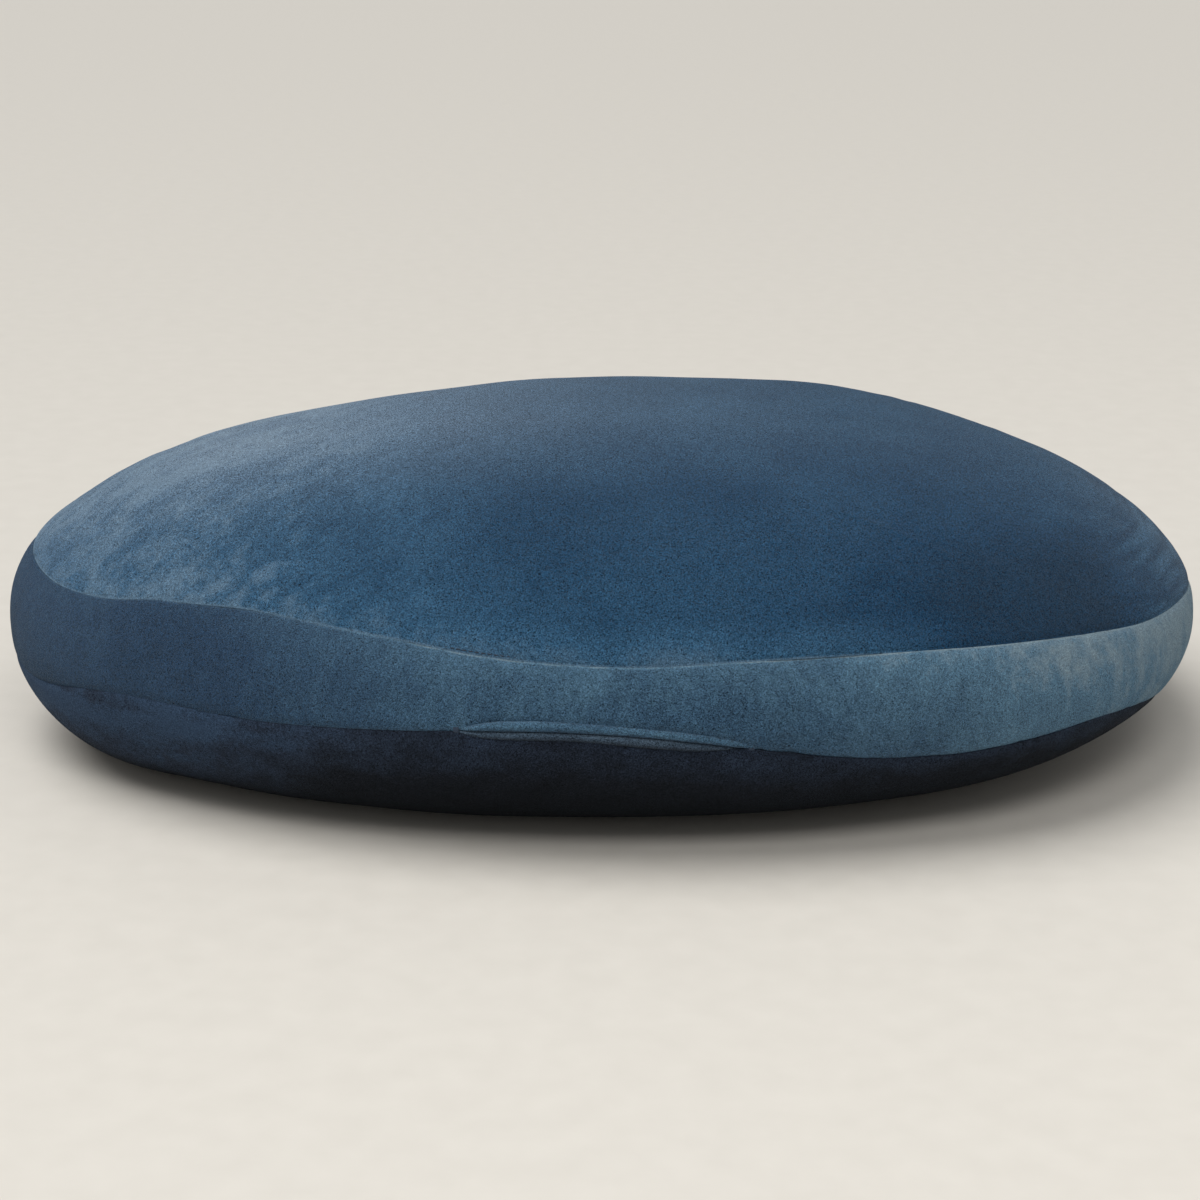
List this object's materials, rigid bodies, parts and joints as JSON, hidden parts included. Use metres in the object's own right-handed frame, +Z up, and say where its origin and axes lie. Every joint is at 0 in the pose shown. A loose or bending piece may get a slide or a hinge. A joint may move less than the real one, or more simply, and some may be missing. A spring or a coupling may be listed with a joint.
{
  "type": "floor cushion",
  "caption": "Low pebble-shaped floor cushion in short-pile velour: crowned top, side band, tucked-under base and a short concealed zip at the front.",
  "frame": {"origin": "middle of the cushion's plan box, on the floor under it", "axes": "+X along the cushion's long way, +Y away from the zip side, +Z up"},
  "size_m": [0.5485, 0.4123, 0.1445],
  "materials": {
    "cover_velour": "soft matt short-pile velour, mid blue",
    "seam_thread": "satin polyester sewing thread, blue",
    "lip_velour": "soft matt short-pile velour, folded edge",
    "zip_tape": "woven polyester tape, dark blue",
    "zip_coil": "satin nylon coil, dark blue",
    "zip_metal": "satin painted die-cast metal, dark blue",
    "label_cloth": "matt woven ribbon, white",
    "bag_cloth": "matt non-woven cloth, white",
    "bead_filling": "matt loose foamed beads, white"
  },
  "bodies": {
    "root": {"cover_top_panel": "cover_velour", "cover_side_band": "cover_velour", "cover_bottom_panel": "cover_velour", "top_seam_thread": "seam_thread", "lower_seam_thread": "seam_thread", "band_closing_thread": "seam_thread", "zip_lip_upper": "lip_velour", "zip_lip_lower": "lip_velour", "zip_tape_upper": "zip_tape", "zip_tape_lower": "zip_tape", "zip_coil_upper": "zip_coil", "zip_coil_lower": "zip_coil", "zip_bottom_stop": "zip_metal", "zip_top_stops": "zip_metal", "zip_bartack_left": "seam_thread", "zip_bartack_right": "seam_thread", "zip_stitching_upper": "seam_thread", "zip_stitching_lower": "seam_thread", "care_label": "label_cloth", "inner_bag_top": "bag_cloth", "inner_bag_bottom": "bag_cloth", "inner_bag_seam_thread": "seam_thread", "bead_fill": "bead_filling"},
    "zip_slider": {"zip_slider": "zip_metal"}
  },
  "joints": [
    {"name": "zip_slide", "type": "hinge", "parent": "root", "child": "zip_slider", "pos_m": [0.01552, 0.20946, 0.056], "axis": [0, 0, -1], "range_deg": [0, 13.9]}
  ]
}
